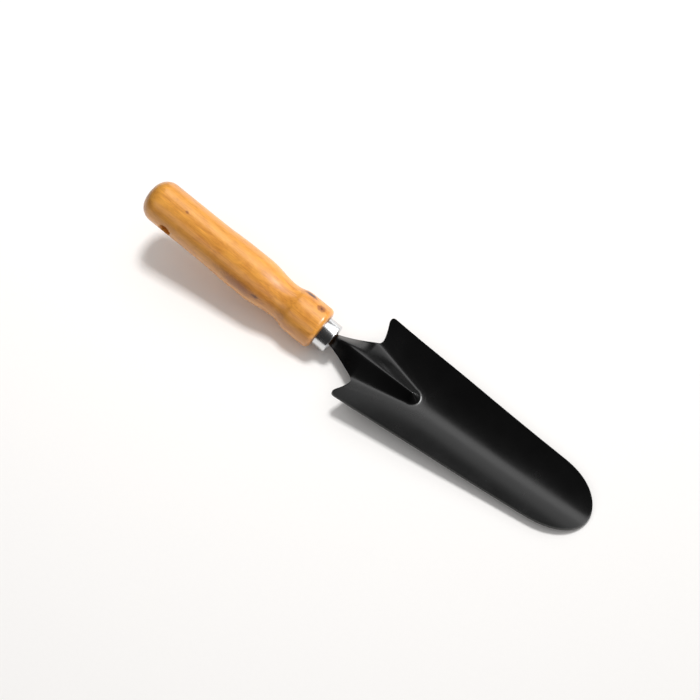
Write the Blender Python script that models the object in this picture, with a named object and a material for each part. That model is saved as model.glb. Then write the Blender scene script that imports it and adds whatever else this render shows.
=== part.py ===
"""Hand transplanter lying on a flat surface: turned wooden handle, steel ferrule, pressed steel blade.

The handle's butt points to -X and the blade's tip to +X. The origin is under the middle of the
tool, on the surface that the collar of the handle and the underside of the blade rest on.
"""
import math

import bpy
import bmesh

MM = 0.001

# ---- driving dimensions -------------------------------------------------------------------
GAP = 0.3 * MM                      # clearance between neighbouring pieces

PITCH = math.radians(13.6)          # the handle rises towards its butt by this angle
HANDLE_LENGTH = 130.0 * MM          # butt to the collar's front face
BUTT_RADIUS = 13.4 * MM
BUTT_ROUNDING = 9.5 * MM
SWELL_RADIUS = 14.1 * MM
WAIST_RADIUS = 11.9 * MM
COLLAR_EDGE_RADIUS = 13.5 * MM      # crisp turned edge where the waist meets the collar
COLLAR_RADIUS = 13.9 * MM
COLLAR_ROUNDING = 3.2 * MM
GRIP_END = 45.0 * MM                # stations along the handle, measured from the butt
SWELL_START = 70.0 * MM
SWELL_END = 81.0 * MM
WAIST_AT = 102.0 * MM
COLLAR_START = 109.5 * MM
COLLAR_FULL = 114.0 * MM
HANG_HOLE_AT = 21.0 * MM
HANG_HOLE_RADIUS = 3.6 * MM
HANG_RIM_DEPTH = 2.2 * MM           # the rim's easing starts this deep under the grip's surface
HANG_CUTTER_OVERRUN = 2.0 * MM

FERRULE_LENGTH = 9.0 * MM           # shows in front of the collar
FERRULE_RADIUS = 9.5 * MM
FERRULE_WALL = 0.8 * MM
FERRULE_ROUNDING = 0.9 * MM
FERRULE_HOLE_RADIUS = 6.3 * MM      # the lip turns in to this radius around the neck

SHEET = 1.4 * MM                    # thickness of the blade's steel
BLADE_REACH = 179.6 * MM            # ferrule front to the tip
SHOULDER_AT = 21.3 * MM             # x positions are measured from the ferrule front
SHOULDER_HALF_WIDTH = 30.5 * MM
TIP_HALF_WIDTH = 18.4 * MM          # the straight sides would reach this at the tip
TIP_CAP_LENGTH = 32.0 * MM
TIP_CAP_POWER = 2.6
SHOULDER_CORNER = 4.4 * MM
EAR_SWEEP = 5.2 * MM                # how far the shoulders reach back behind the notch
NOTCH_AT = 24.9 * MM
NOTCH_HALF_WIDTH = 16.5 * MM
NOTCH_RADIUS = 3.0 * MM
NECK_START_HALF_WIDTH = 4.2 * MM
NECK_END_AT = 23.2 * MM
NECK_END_HALF_WIDTH = 13.8 * MM
NECK_FLARE_POWER = 1.2
KEEL_LOW_AT = 150.0 * MM            # the keel, the bottom of the trough, touches down here
KEEL_RISE = 8.8 * MM                # and has risen by this much at the shoulders
NECK_KEEL_START = 11.2 * MM         # height of the neck's lower edges at the ferrule
NECK_KEEL_SLOPE = 0.055
NECK_KEEL_END = 40.0 * MM           # the slope stops here, under the front of the ridge
NECK_KEEL_BLEND = 0.4 * MM          # softness of the bend where the neck meets the trough
TROUGH_ROUND = 16.0 * MM            # rounding of the trough's bottom
TROUGH_SLOPE_REAR = 0.45            # steepness of the trough's walls
TROUGH_SLOPE_FRONT = 0.62
TROUGH_FULL_AT = 90.0 * MM
RIDGE_START_HEIGHT = 15.2 * MM      # the crest leaves the ferrule's hole at this height
RIDGE_CLIMB = 0.26                  # climbs at this slope
RIDGE_LINE_HEIGHT = 20.7 * MM       # and meets a straight fall, which starts here over the ferrule
RIDGE_END_HEIGHT = 12.2 * MM
RIDGE_CREST_BLEND = 1.2 * MM
RIDGE_END_AT = 57.5 * MM
RIDGE_NOSE_LENGTH = 5.2 * MM
RIDGE_END_HALF_WIDTH = 4.8 * MM
RIDGE_FOOT_HALF_WIDTH = 13.2 * MM   # at the notch
RIDGE_PEAK_ROUND = 0.10             # roundings, as shares of the ridge's half width
RIDGE_FOOT_ROUND = 0.16
RIDGE_FOOT_REACH = 1.6              # the soft foot has died out at this share
NECK_PEAK_ROUND = 0.30              # at the ferrule the section is a rounded arch with steep sides
NECK_FOOT_ROUND = 0.04
NECK_ROUND_UNTIL = 10.0 * MM
NECK_SHARP_FROM = 26.0 * MM
TANG_LENGTH = 52.0 * MM
TANG_END_HALF_WIDTH = 2.4 * MM
TANG_RISE = 4.1 * MM                # height of the folded strip at the ferrule
TANG_END_RISE = 1.8 * MM
MORTISE_CLEARANCE = 0.45 * MM       # around the tang, with a little more at its sides and folds
MORTISE_SIDE_EASE = 0.3 * MM
MORTISE_EAVES = 0.5 * MM
MORTISE_END_CLEARANCE = 1.5 * MM
MORTISE_OVERRUN = 2.0 * MM          # the cutter starts this far in front of the ferrule

SEGMENTS = 48                       # facets around the turned pieces

# ---- places worked out from them -----------------------------------------------------------
AXIS_HEIGHT = ((COLLAR_RADIUS - COLLAR_ROUNDING) * math.cos(PITCH) + COLLAR_ROUNDING
               - (FERRULE_LENGTH + COLLAR_ROUNDING) * math.sin(PITCH))
BUTT_REACH = ((HANDLE_LENGTH + FERRULE_LENGTH - BUTT_ROUNDING) * math.cos(PITCH)
              + (BUTT_RADIUS - BUTT_ROUNDING) * math.sin(PITCH) + BUTT_ROUNDING)
FERRULE_X = (BUTT_REACH - BLADE_REACH) / 2
HANDLE_BACK = -(HANDLE_LENGTH + FERRULE_LENGTH)
COLLAR_FACE = -FERRULE_LENGTH
TENON_RADIUS = FERRULE_RADIUS - FERRULE_WALL - GAP


def clear_scene():
    for item in list(bpy.data.objects):
        bpy.data.objects.remove(item, do_unlink=True)


def make_material(name, colour, roughness, metallic):
    material = bpy.data.materials.new(name)
    material.use_nodes = True
    shader = material.node_tree.nodes["Principled BSDF"]
    shader.inputs["Base Color"].default_value = (*colour, 1.0)
    shader.inputs["Roughness"].default_value = roughness
    shader.inputs["Metallic"].default_value = metallic
    return material


def add_object(name, bm, material=None, parent=None):
    mesh = bpy.data.meshes.new(name)
    bm.to_mesh(mesh)
    bm.free()
    if material is not None:
        mesh.materials.append(material)
    piece = bpy.data.objects.new(name, mesh)
    bpy.context.collection.objects.link(piece)
    piece.parent = parent
    return piece


def shade_round(piece, angle=math.radians(35)):
    piece.data.shade_smooth()
    piece.data.set_sharp_from_angle(angle=angle)


def ease(share):
    """Cosine ease from 0 to 1."""
    return (1 - math.cos(math.pi * min(max(share, 0.0), 1.0))) / 2


def steps(start, end, count):
    """count + 1 evenly spaced values from start to end."""
    return [start + (end - start) * i / count for i in range(count + 1)]


def turned(profile):
    """Closed body of revolution about X from (x, radius) points between two points on the axis."""
    bm = bmesh.new()
    verts = [bm.verts.new((x, 0, radius)) for x, radius in profile]
    edges = [bm.edges.new(pair) for pair in zip(verts, verts[1:])]
    bmesh.ops.spin(bm, geom=verts + edges, axis=(1, 0, 0), cent=(0, 0, 0),
                   angle=math.tau, steps=SEGMENTS, use_merge=True)
    bmesh.ops.remove_doubles(bm, verts=bm.verts, dist=0.00001)
    bmesh.ops.recalc_face_normals(bm, faces=bm.faces)
    return bm


def cut(piece, cutter):
    cutter.hide_render = True
    cutter.display_type = 'WIRE'
    modifier = piece.modifiers.new("cut_" + cutter.name, 'BOOLEAN')
    modifier.operation = 'DIFFERENCE'
    modifier.solver = 'EXACT'
    modifier.object = cutter


# ---- handle --------------------------------------------------------------------------------
def grip_radius(s):
    """Radius of the turned grip at distance s from the butt, past the butt's rounding."""
    if s < GRIP_END:
        return BUTT_RADIUS
    if s < SWELL_END:
        swell = ease((s - GRIP_END) / (SWELL_START - GRIP_END))
        return BUTT_RADIUS + (SWELL_RADIUS - BUTT_RADIUS) * swell
    if s < WAIST_AT:
        fall = ease((s - SWELL_END) / (WAIST_AT - SWELL_END))
        return SWELL_RADIUS + (WAIST_RADIUS - SWELL_RADIUS) * fall
    if s < COLLAR_START:
        cove = (s - WAIST_AT) / (COLLAR_START - WAIST_AT)
        return WAIST_RADIUS + (COLLAR_EDGE_RADIUS - WAIST_RADIUS) * cove ** 2
    collar = ease(0.5 + 0.5 * (s - COLLAR_START) / (COLLAR_FULL - COLLAR_START))
    return COLLAR_EDGE_RADIUS + (COLLAR_RADIUS - COLLAR_EDGE_RADIUS) * (2 * collar - 1)


def handle_profile():
    points = [(0.0, 0.0)]
    for i in range(7):
        turn = math.pi / 2 * i / 6
        points.append((BUTT_ROUNDING * (1 - math.cos(turn)),
                       BUTT_RADIUS - BUTT_ROUNDING + BUTT_ROUNDING * math.sin(turn)))
    stations = steps(GRIP_END, SWELL_START, 4)
    stations += steps(SWELL_END, WAIST_AT, 6)
    stations += steps(WAIST_AT, COLLAR_START, 4)[1:]
    stations += steps(COLLAR_START, COLLAR_FULL, 2)[1:]
    points += [(s, grip_radius(s)) for s in stations]
    for i in range(5):
        turn = math.pi / 2 * i / 4
        points.append((HANDLE_LENGTH - COLLAR_ROUNDING * (1 - math.sin(turn)),
                       COLLAR_RADIUS - COLLAR_ROUNDING * (1 - math.cos(turn))))
    tenon_end = HANDLE_LENGTH + FERRULE_LENGTH - FERRULE_WALL - GAP
    points += [(HANDLE_LENGTH, TENON_RADIUS), (tenon_end, TENON_RADIUS), (tenon_end, 0.0)]
    return [(s + HANDLE_BACK, radius) for s, radius in points]


def hang_hole_profile():
    """Cutter for the hanging hole, with an eased rim on both sides, along its own axis."""
    half = SWELL_RADIUS + HANG_CUTTER_OVERRUN
    rim = BUTT_RADIUS - HANG_RIM_DEPTH
    flare = HANG_HOLE_RADIUS + half - rim
    return [(-half, 0), (-half, flare), (-rim, HANG_HOLE_RADIUS),
            (rim, HANG_HOLE_RADIUS), (half, flare), (half, 0)]


def tang_half_width(back):
    """Half width of the tang at a distance behind the ferrule front."""
    return NECK_START_HALF_WIDTH + (TANG_END_HALF_WIDTH - NECK_START_HALF_WIDTH) * back / TANG_LENGTH


def tang_rise(back):
    return TANG_RISE + (TANG_END_RISE - TANG_RISE) * back / TANG_LENGTH


def mortise():
    """Tapered five-sided pocket that clears the folded tang all round, along the handle's axis."""
    bm = bmesh.new()
    rings = []
    for back in (-MORTISE_OVERRUN, TANG_LENGTH + MORTISE_END_CLEARANCE):
        side = tang_half_width(back) + MORTISE_CLEARANCE + MORTISE_SIDE_EASE
        low = -TANG_DROP - SHEET - MORTISE_CLEARANCE
        eaves = -TANG_DROP + MORTISE_CLEARANCE + MORTISE_EAVES
        peak = -TANG_DROP + tang_rise(back) + 2 * MORTISE_CLEARANCE
        outline = [(-side, low), (side, low), (side, eaves), (0, peak), (-side, eaves)]
        rings.append([bm.verts.new((-back, y, z)) for y, z in outline])
    for i in range(5):
        j = (i + 1) % 5
        bm.faces.new((rings[0][i], rings[0][j], rings[1][j], rings[1][i]))
    bm.faces.new(rings[0])
    bm.faces.new(rings[1])
    bmesh.ops.recalc_face_normals(bm, faces=bm.faces)
    return bm


def make_handle(axis):
    wood = make_material("lacquered_wood", (0.68, 0.33, 0.10), 0.28, 0.0)
    handle = add_object("handle", turned(handle_profile()), wood, axis)
    shade_round(handle)
    hole = add_object("hang_hole_cutter", turned(hang_hole_profile()), None, axis)
    hole.location.x = HANDLE_BACK + HANG_HOLE_AT
    hole.rotation_euler.z = math.pi / 2
    cut(handle, hole)
    pocket = add_object("mortise_cutter", mortise(), None, axis)
    cut(handle, pocket)


# ---- ferrule -------------------------------------------------------------------------------
def make_ferrule(axis):
    steel = make_material("polished_steel", (0.70, 0.70, 0.71), 0.14, 1.0)
    back = COLLAR_FACE + GAP
    inner = FERRULE_RADIUS - FERRULE_WALL
    profile = [(back, inner), (back, FERRULE_RADIUS)]
    for i in range(4):
        turn = math.pi / 2 * i / 3
        profile.append((-FERRULE_ROUNDING * (1 - math.sin(turn)),
                        FERRULE_RADIUS - FERRULE_ROUNDING * (1 - math.cos(turn))))
    profile += [(0, FERRULE_HOLE_RADIUS), (-FERRULE_WALL, FERRULE_HOLE_RADIUS),
                (-FERRULE_WALL, inner), (back, inner)]
    ferrule = add_object("ferrule", turned(profile), steel, axis)
    shade_round(ferrule)


# ---- blade ---------------------------------------------------------------------------------
TANG_DROP = AXIS_HEIGHT - NECK_KEEL_START    # the tang's lower edges lie this far under the axis
NOSE_START = RIDGE_END_AT - 4 * MM           # closer rows across the ridge's rounded nose
NOSE_END = RIDGE_END_AT + 8 * MM


def side_half_width(x):
    """Half width between the blade's straight, converging sides."""
    share = (x - SHOULDER_AT) / (BLADE_REACH - SHOULDER_AT)
    return SHOULDER_HALF_WIDTH + (TIP_HALF_WIDTH - SHOULDER_HALF_WIDTH) * share


def tip_end(y):
    """x where the rounded tip's outline passes the distance y from the centre line."""
    x = BLADE_REACH
    for _ in range(4):
        share = min(y / side_half_width(x), 1.0)
        x = BLADE_REACH - TIP_CAP_LENGTH * (1 - (1 - share ** 2) ** (1 / TIP_CAP_POWER))
    return x


def ear_start(y):
    """x of the shoulder's rear edge at the distance y, with its rounded corner."""
    sweep = (y - NOTCH_HALF_WIDTH) / (SHOULDER_HALF_WIDTH - NOTCH_HALF_WIDTH)
    x = NOTCH_AT - EAR_SWEEP * sweep ** 1.5
    into_corner = min(max(y - (SHOULDER_HALF_WIDTH - SHOULDER_CORNER), 0.0), SHOULDER_CORNER)
    return x + SHOULDER_CORNER - math.sqrt(SHOULDER_CORNER ** 2 - into_corner ** 2)


def neck_flare(x):
    share = max(x, 0.0) / NECK_END_AT
    return NECK_START_HALF_WIDTH + (NECK_END_HALF_WIDTH - NECK_START_HALF_WIDTH) * share ** NECK_FLARE_POWER


def neck_half_width(x):
    """Half width of the neck, which ends in the rounded bottom of the notch."""
    if x <= NECK_END_AT:
        return neck_flare(x)
    reach = x - (NOTCH_AT - NOTCH_RADIUS)
    return NOTCH_HALF_WIDTH - math.sqrt(max(NOTCH_RADIUS ** 2 - reach ** 2, 0.0))


def ridge_half_width(x):
    """Distance from the centre line to the ridge's foot."""
    share = (x - NOTCH_AT) / (RIDGE_END_AT - NOTCH_AT)
    foot = RIDGE_FOOT_HALF_WIDTH + (RIDGE_END_HALF_WIDTH - RIDGE_FOOT_HALF_WIDTH) * share
    return max(min(neck_flare(x), foot), RIDGE_END_HALF_WIDTH if x > NOTCH_AT else 0.0)


def outer_line(x):
    """Distance to the mesh line that leaves the bottom of the notch and runs to the tip."""
    share = ease((x - NOTCH_AT) / (RIDGE_END_AT - NOTCH_AT))
    return NOTCH_HALF_WIDTH + (2 * RIDGE_END_HALF_WIDTH - NOTCH_HALF_WIDTH) * share


def keel(x):
    """Height of the trough's bottom line on the upper face."""
    rocker = SHEET + KEEL_RISE * ((x - KEEL_LOW_AT) / (SHOULDER_AT - KEEL_LOW_AT)) ** 2
    neck = NECK_KEEL_START - NECK_KEEL_SLOPE * min(x, NECK_KEEL_END)
    return (rocker + neck - math.hypot(rocker - neck, NECK_KEEL_BLEND)) / 2


def crest(x):
    """Height of the ridge's top line."""
    climb = RIDGE_START_HEIGHT + RIDGE_CLIMB * max(x, 0.0)
    fall = RIDGE_LINE_HEIGHT + (RIDGE_END_HEIGHT - RIDGE_LINE_HEIGHT) * x / RIDGE_END_AT
    return (climb + fall - math.hypot(climb - fall, RIDGE_CREST_BLEND)) / 2


def roof(share, x):
    """Section of the ridge at x: 1 at its top, a straight fall, and a soft foot near share 1."""
    sharp = ease((x - NECK_ROUND_UNTIL) / (NECK_SHARP_FROM - NECK_ROUND_UNTIL))
    peak_round = NECK_PEAK_ROUND + (RIDGE_PEAK_ROUND - NECK_PEAK_ROUND) * sharp
    foot_round = NECK_FOOT_ROUND + (RIDGE_FOOT_ROUND - NECK_FOOT_ROUND) * sharp
    fall = (math.hypot(share, peak_round) - peak_round) / (math.hypot(1.0, peak_round) - peak_round)
    left = 1 - fall
    soft = (left + math.hypot(left, foot_round)) / 2
    rest = foot_round ** 2 / 4
    return max(soft - rest / max(share, 1.0), 0.0) if share < RIDGE_FOOT_REACH else 0.0


def blade_height(x, y):
    """Height of the blade's upper face."""
    wall = TROUGH_SLOPE_REAR + (TROUGH_SLOPE_FRONT - TROUGH_SLOPE_REAR) * ease(
        (x - SHOULDER_AT) / (TROUGH_FULL_AT - SHOULDER_AT))
    trough = keel(x) + wall * (math.hypot(y, TROUGH_ROUND) - TROUGH_ROUND)
    along = min(x, RIDGE_END_AT)
    share = abs(y) / ridge_half_width(x)
    if x > RIDGE_END_AT:
        share = math.hypot(share, (x - RIDGE_END_AT) / RIDGE_NOSE_LENGTH)
    return trough + (crest(along) - keel(along)) * roof(share, x)


def add_blade_strip(bm, rows):
    """Join rows of vertices of equal length with quads."""
    for near, far in zip(rows, rows[1:]):
        for a, b, c, d in zip(near, far, far[1:], near[1:]):
            bm.faces.new((a, b, c, d))


def blade_sheet():
    """The blade's upper face, from the tang's end to the tip, as one sheet."""
    bm = bmesh.new()
    inner_columns = steps(0, 1, 5)
    middle_columns = steps(0, 1, 2)[1:]
    wing_columns = [math.sin(math.pi / 2 * t) for t in steps(0, 1, 7)][1:]

    def centre_y(inner, outer):
        half = [inner * t for t in inner_columns] + [inner + (outer - inner) * t for t in middle_columns]
        return [-y for y in reversed(half[1:])] + half

    rows = []
    inner_share = RIDGE_FOOT_HALF_WIDTH / NOTCH_HALF_WIDTH
    for back in steps(TANG_LENGTH, 0, 6)[:-1]:
        half = tang_half_width(back)
        row = []
        for y in centre_y(half * inner_share, half):
            lift = -TANG_DROP + tang_rise(back) * roof(abs(y) / half, -back)
            row.append(bm.verts.new((-back * math.cos(PITCH) + lift * math.sin(PITCH), y,
                                     AXIS_HEIGHT + back * math.sin(PITCH) + lift * math.cos(PITCH))))
        rows.append(row)
    neck_x = steps(0, NECK_END_AT, 7) + steps(NECK_END_AT, NOTCH_AT, 3)[1:]
    for x in neck_x:
        half = neck_half_width(x)
        rows.append([bm.verts.new((x, y, blade_height(x, y))) for y in centre_y(half * inner_share, half)])
    add_blade_strip(bm, rows)

    stretches = [(NOTCH_AT, NOSE_START, 7), (NOSE_START, NOSE_END, 7),
                 (NOSE_END, KEEL_LOW_AT, 9), (KEEL_LOW_AT, BLADE_REACH, 5)]
    row_x = [NOTCH_AT]
    for start, end, count in stretches:
        row_x += steps(start, end, count)[1:]
    shares = [(x - NOTCH_AT) / (BLADE_REACH - NOTCH_AT) for x in row_x]

    def place(start, share, lateral):
        """Vertex position on one mesh line; lateral gives its distance y at a given x."""
        end = BLADE_REACH
        for _ in range(3):
            end = tip_end(abs(lateral(end)))
        x = start + (end - start) * share
        y = lateral(x)
        return x, y, blade_height(x, y)

    centre_lines = [lambda x, t=t: ridge_half_width(x) * t for t in inner_columns]
    centre_lines += [lambda x, t=t: ridge_half_width(x) + (outer_line(x) - ridge_half_width(x)) * t
                     for t in middle_columns]
    wing_lines = [lambda x, t=t: outer_line(x) + (side_half_width(x) - outer_line(x)) * t
                  for t in wing_columns]
    grid = [rows[-1]]
    for share in shares[1:]:
        half = [place(NOTCH_AT, share, line) for line in centre_lines]
        mirrored = [(x, -y, z) for x, y, z in reversed(half[1:])]
        grid.append([bm.verts.new(point) for point in mirrored + half])
    add_blade_strip(bm, grid)
    for side in (-1, 1):
        wing = []
        for i, share in enumerate(shares):
            joint = grid[i][-1 if side > 0 else 0]
            row = [joint]
            for line, column in zip(wing_lines, wing_columns):
                start_y = NOTCH_HALF_WIDTH + (SHOULDER_HALF_WIDTH - NOTCH_HALF_WIDTH) * column
                x, y, z = place(ear_start(start_y), share, line)
                row.append(bm.verts.new((x, side * y, z)))
            wing.append(row if side > 0 else row[::-1])
        add_blade_strip(bm, wing)
    bmesh.ops.recalc_face_normals(bm, faces=bm.faces)
    bm.faces.ensure_lookup_table()
    if bm.faces[0].normal.z < 0:
        bmesh.ops.reverse_faces(bm, faces=bm.faces)
    return bm


def make_blade():
    coating = make_material("black_coating", (0.02, 0.02, 0.021), 0.42, 0.0)
    blade = add_object("blade", blade_sheet(), coating)
    blade.location.x = FERRULE_X
    blade.data.shade_smooth()
    sheet = blade.modifiers.new("sheet_thickness", 'SOLIDIFY')
    sheet.thickness = SHEET
    sheet.offset = -1
    sheet.use_even_offset = True


def main():
    clear_scene()
    axis = bpy.data.objects.new("handle_axis", None)
    bpy.context.collection.objects.link(axis)
    axis.location = (FERRULE_X, 0, AXIS_HEIGHT)
    axis.rotation_euler = (0, PITCH, 0)
    make_handle(axis)
    make_ferrule(axis)
    make_blade()


main()
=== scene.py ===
"""Hand transplanter: turned wooden handle, polished steel ferrule and pressed black steel blade.

The handle's butt points to -X, the blade's tip to +X and the open side of the scoop to +Z.
"""
import math

import bmesh
import bpy
from bpy.props import FloatProperty, FloatVectorProperty, IntProperty, PointerProperty
from mathutils import Matrix, Vector


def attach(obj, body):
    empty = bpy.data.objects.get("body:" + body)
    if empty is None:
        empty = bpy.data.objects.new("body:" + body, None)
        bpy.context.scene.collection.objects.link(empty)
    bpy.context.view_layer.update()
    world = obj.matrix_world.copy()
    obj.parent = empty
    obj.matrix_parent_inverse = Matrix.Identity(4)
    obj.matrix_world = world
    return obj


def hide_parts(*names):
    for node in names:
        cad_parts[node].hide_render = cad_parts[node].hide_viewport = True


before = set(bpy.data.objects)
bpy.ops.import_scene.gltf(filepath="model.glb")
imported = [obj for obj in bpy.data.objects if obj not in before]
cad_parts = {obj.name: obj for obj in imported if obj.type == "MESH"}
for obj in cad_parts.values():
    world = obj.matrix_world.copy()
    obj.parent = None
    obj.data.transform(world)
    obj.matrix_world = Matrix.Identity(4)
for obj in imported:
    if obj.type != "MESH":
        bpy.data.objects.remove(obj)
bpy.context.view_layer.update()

bl_info = {
    "name": "Hand Transplanter",
    "version": (1, 0, 0),
    "blender": (4, 5, 0),
    "location": "3D View > Sidebar > Garden Tools",
    "description": "Builds a hand transplanter with its materials and a plain studio",
    "category": "Object",
}

MM = 0.001


def linear(hex_colour):
    """An sRGB hex colour such as "c98a3c" as linear red, green and blue."""
    channels = [int(hex_colour[i:i + 2], 16) / 255 for i in (0, 2, 4)]
    return tuple(c / 12.92 if c <= 0.04045 else ((c + 0.055) / 1.055) ** 2.4 for c in channels)


# ---- sizes and colours a user would change ---------------------------------------------------
def length(name, millimetres, description):
    """A property for a length, given here in millimetres and kept in metres."""
    return FloatProperty(name=name, description=description, default=millimetres * MM,
                         min=0.0, precision=5, unit='LENGTH')


def colour(name, hex_colour, description):
    return FloatVectorProperty(name=name, description=description, default=linear(hex_colour),
                               size=3, min=0.0, max=1.0, subtype='COLOR')


class HandleSettings(bpy.types.PropertyGroup):
    """Sizes and colours of the turned handle."""
    length: length("Length", 130.0, "From the butt to the collar's front face")
    butt_radius: length("Butt radius", 13.4, "Radius of the straight grip at the butt")
    butt_rounding: length("Butt rounding", 9.5, "Rounding of the butt's end")
    swell_radius: length("Swell radius", 14.1, "Radius of the swell that fills the palm")
    waist_radius: length("Waist radius", 11.9, "Radius of the waist behind the collar")
    collar_radius: length("Collar radius", 13.9, "Radius of the collar")
    collar_rounding: length("Collar rounding", 3.2, "Rounding of the collar's front edge")
    hole_at: length("Hole position", 21.0, "From the butt to the hanging hole")
    hole_radius: length("Hole radius", 3.6, "Radius of the hanging hole")
    pitch: FloatProperty(name="Pitch", description="Rise of the handle towards its butt",
                         default=math.radians(13.6), subtype='ANGLE')
    segments: IntProperty(name="Segments", description="Facets around the handle",
                          default=168, min=24)
    early_wood: colour("Early wood", "f3ab48", "The paler bands of the grain under the lacquer")
    late_wood: colour("Late wood", "cb8030", "The darker bands of the grain")
    knot: colour("Knot", "3d1609", "The heart of a knot")
    knot_rim: colour("Knot rim", "8f4d22", "The wood round a knot, and the streak at the palm")


class FerruleSettings(bpy.types.PropertyGroup):
    """Sizes and colour of the drawn cap in front of the collar."""
    length: length("Length", 9.0, "How far the ferrule shows in front of the collar")
    radius: length("Radius", 9.5, "Outer radius")
    wall: length("Wall", 0.8, "Thickness of the drawn steel")
    rounding: length("Rounding", 0.9, "Rounding where the front turns in")
    hole_radius: length("Hole radius", 6.3, "Radius of the hole that the neck passes through")
    segments: IntProperty(name="Segments", description="Facets around the ferrule",
                          default=144, min=24)
    steel: colour("Steel", "d6d7d8", "Colour of the polished steel")


class BladeSettings(bpy.types.PropertyGroup):
    """Sizes and colour of the pressed blade."""
    sheet: length("Sheet", 1.4, "Thickness of the steel")
    reach: length("Reach", 179.6, "From the ferrule's front to the tip")
    shoulder_half_width: length("Shoulder half width", 30.5, "Half of the width at the shoulders")
    tip_half_width: length("Tip half width", 18.4, "Half width the sides aim for at the tip")
    ridge_height: length("Ridge height", 15.2, "Height of the ridge where it leaves the ferrule")
    rim_rounding: length("Rim rounding", 0.42, "Rounding of the sheet's edges")
    coating: colour("Coating", "070707", "The black powder coat")


class StageSettings(bpy.types.PropertyGroup):
    """Floor, lights and camera."""
    floor: colour("Floor", "f4f2f0", "The pale floor")
    elevation: FloatProperty(name="Elevation", description="Angle of the camera above the floor",
                             default=math.radians(64.23), subtype='ANGLE')
    azimuth: FloatProperty(name="Azimuth", description="Turn of the camera round the tool",
                           default=math.radians(36.985), subtype='ANGLE')
    distance: FloatProperty(name="Distance", default=0.776, unit='LENGTH',
                            description="From the camera to the point it looks at")
    lens: FloatProperty(name="Lens", description="Focal length in millimetres", default=66.857)


# ---- shape rules shared by the pieces ----------------------------------------------------------
GAP = 0.3 * MM                      # clearance between pieces that fit together
WELD = 0.002 * MM                   # points closer than this are one point
COLLAR_EDGE_RADIUS = 13.5 * MM
# grip, as distances from the butt
GRIP_END = 45.0 * MM
SWELL_START = 70.0 * MM
SWELL_END = 81.0 * MM
WAIST_AT = 102.0 * MM
COLLAR_START = 109.5 * MM
COLLAR_FULL = 114.0 * MM
# hanging hole and mortise
HOLE_STRETCH = 8.0 * MM             # the outline has closer rings this far each side of the hole
HOLE_EASING = 2.6 * MM
HOLE_RIM_DEPTH = 2.1 * MM
HOLE_FLARE = 52                     # degrees
DRILL_SEGMENTS = 72
MORTISE_CLEARANCE = 0.45 * MM

# blade; every name that ends in _AT is a distance from the ferrule's front
SHOULDER_AT = 21.3 * MM
TIP_CAP_LENGTH = 32.0 * MM
TIP_CAP_POWER = 2.6
SHOULDER_CORNER = 4.4 * MM
EAR_SWEEP = 5.2 * MM
NOTCH_AT = 24.9 * MM
NOTCH_HALF_WIDTH = 16.5 * MM
NOTCH_RADIUS = 3.0 * MM
NECK_START_HALF_WIDTH = 4.2 * MM
NECK_END_AT = 23.2 * MM
NECK_END_HALF_WIDTH = 13.8 * MM
NECK_FLARE_POWER = 1.2
KEEL_LOW_AT = 150.0 * MM
KEEL_RISE = 8.8 * MM
NECK_KEEL_START = 11.2 * MM
NECK_KEEL_SLOPE = 0.055
NECK_KEEL_END = 40.0 * MM
NECK_KEEL_BLEND = 0.4 * MM
TROUGH_ROUND = 16.0 * MM
TROUGH_SLOPE_REAR = 0.45
TROUGH_SLOPE_FRONT = 0.62
TROUGH_FULL_AT = 90.0 * MM
RIDGE_CLIMB = 0.26
RIDGE_LINE_HEIGHT = 20.7 * MM
RIDGE_END_HEIGHT = 12.2 * MM
RIDGE_CREST_BLEND = 1.2 * MM
RIDGE_END_AT = 57.5 * MM
RIDGE_NOSE_LENGTH = 5.2 * MM
RIDGE_END_HALF_WIDTH = 4.8 * MM
RIDGE_FOOT_HALF_WIDTH = 13.2 * MM
RIDGE_PEAK_ROUND = 0.10
RIDGE_FOOT_ROUND = 0.16
RIDGE_FOOT_REACH = 1.6
NECK_PEAK_ROUND = 0.30
NECK_FOOT_ROUND = 0.04
NECK_ROUND_UNTIL = 10.0 * MM
NECK_SHARP_FROM = 26.0 * MM
TANG_LENGTH = 52.0 * MM
TANG_END_HALF_WIDTH = 2.4 * MM
TANG_RISE = 4.1 * MM
TANG_END_RISE = 1.8 * MM


def settings():
    scene = bpy.context.scene
    return scene.transplanter_handle, scene.transplanter_ferrule, scene.transplanter_blade


def axis_height():
    """Height of the handle's axis at the ferrule's front, with the collar resting on the floor."""
    handle, ferrule, _ = settings()
    return ((handle.collar_radius - handle.collar_rounding) * math.cos(handle.pitch)
            + handle.collar_rounding
            - (ferrule.length + handle.collar_rounding) * math.sin(handle.pitch))


def ferrule_x():
    """The ferrule's front on X, with the tool's length centred on the origin."""
    handle, ferrule, blade = settings()
    back = ((handle.length + ferrule.length - handle.butt_rounding) * math.cos(handle.pitch)
            + (handle.butt_radius - handle.butt_rounding) * math.sin(handle.pitch)
            + handle.butt_rounding)
    return (back - blade.reach) / 2


def handle_place():
    """Matrix from the handle's own axes, with x = 0 at the ferrule's front, to the frame."""
    handle = settings()[0]
    return (Matrix.Translation((ferrule_x(), 0, axis_height()))
            @ Matrix.Rotation(handle.pitch, 4, 'Y'))


def ease(share):
    """Cosine ease from 0 to 1."""
    return (1 - math.cos(math.pi * min(max(share, 0.0), 1.0))) / 2


def steps(start, end, count):
    """count + 1 evenly spaced values from start to end."""
    return [start + (end - start) * i / count for i in range(count + 1)]


def arc(centre_x, centre_r, radius, start, end, count):
    """Points on an arc in the plane of a turned outline; 0 degrees points along +X."""
    angles = [math.radians(a) for a in steps(start, end, count)]
    return [(centre_x + radius * math.cos(a), centre_r + radius * math.sin(a)) for a in angles]


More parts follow.
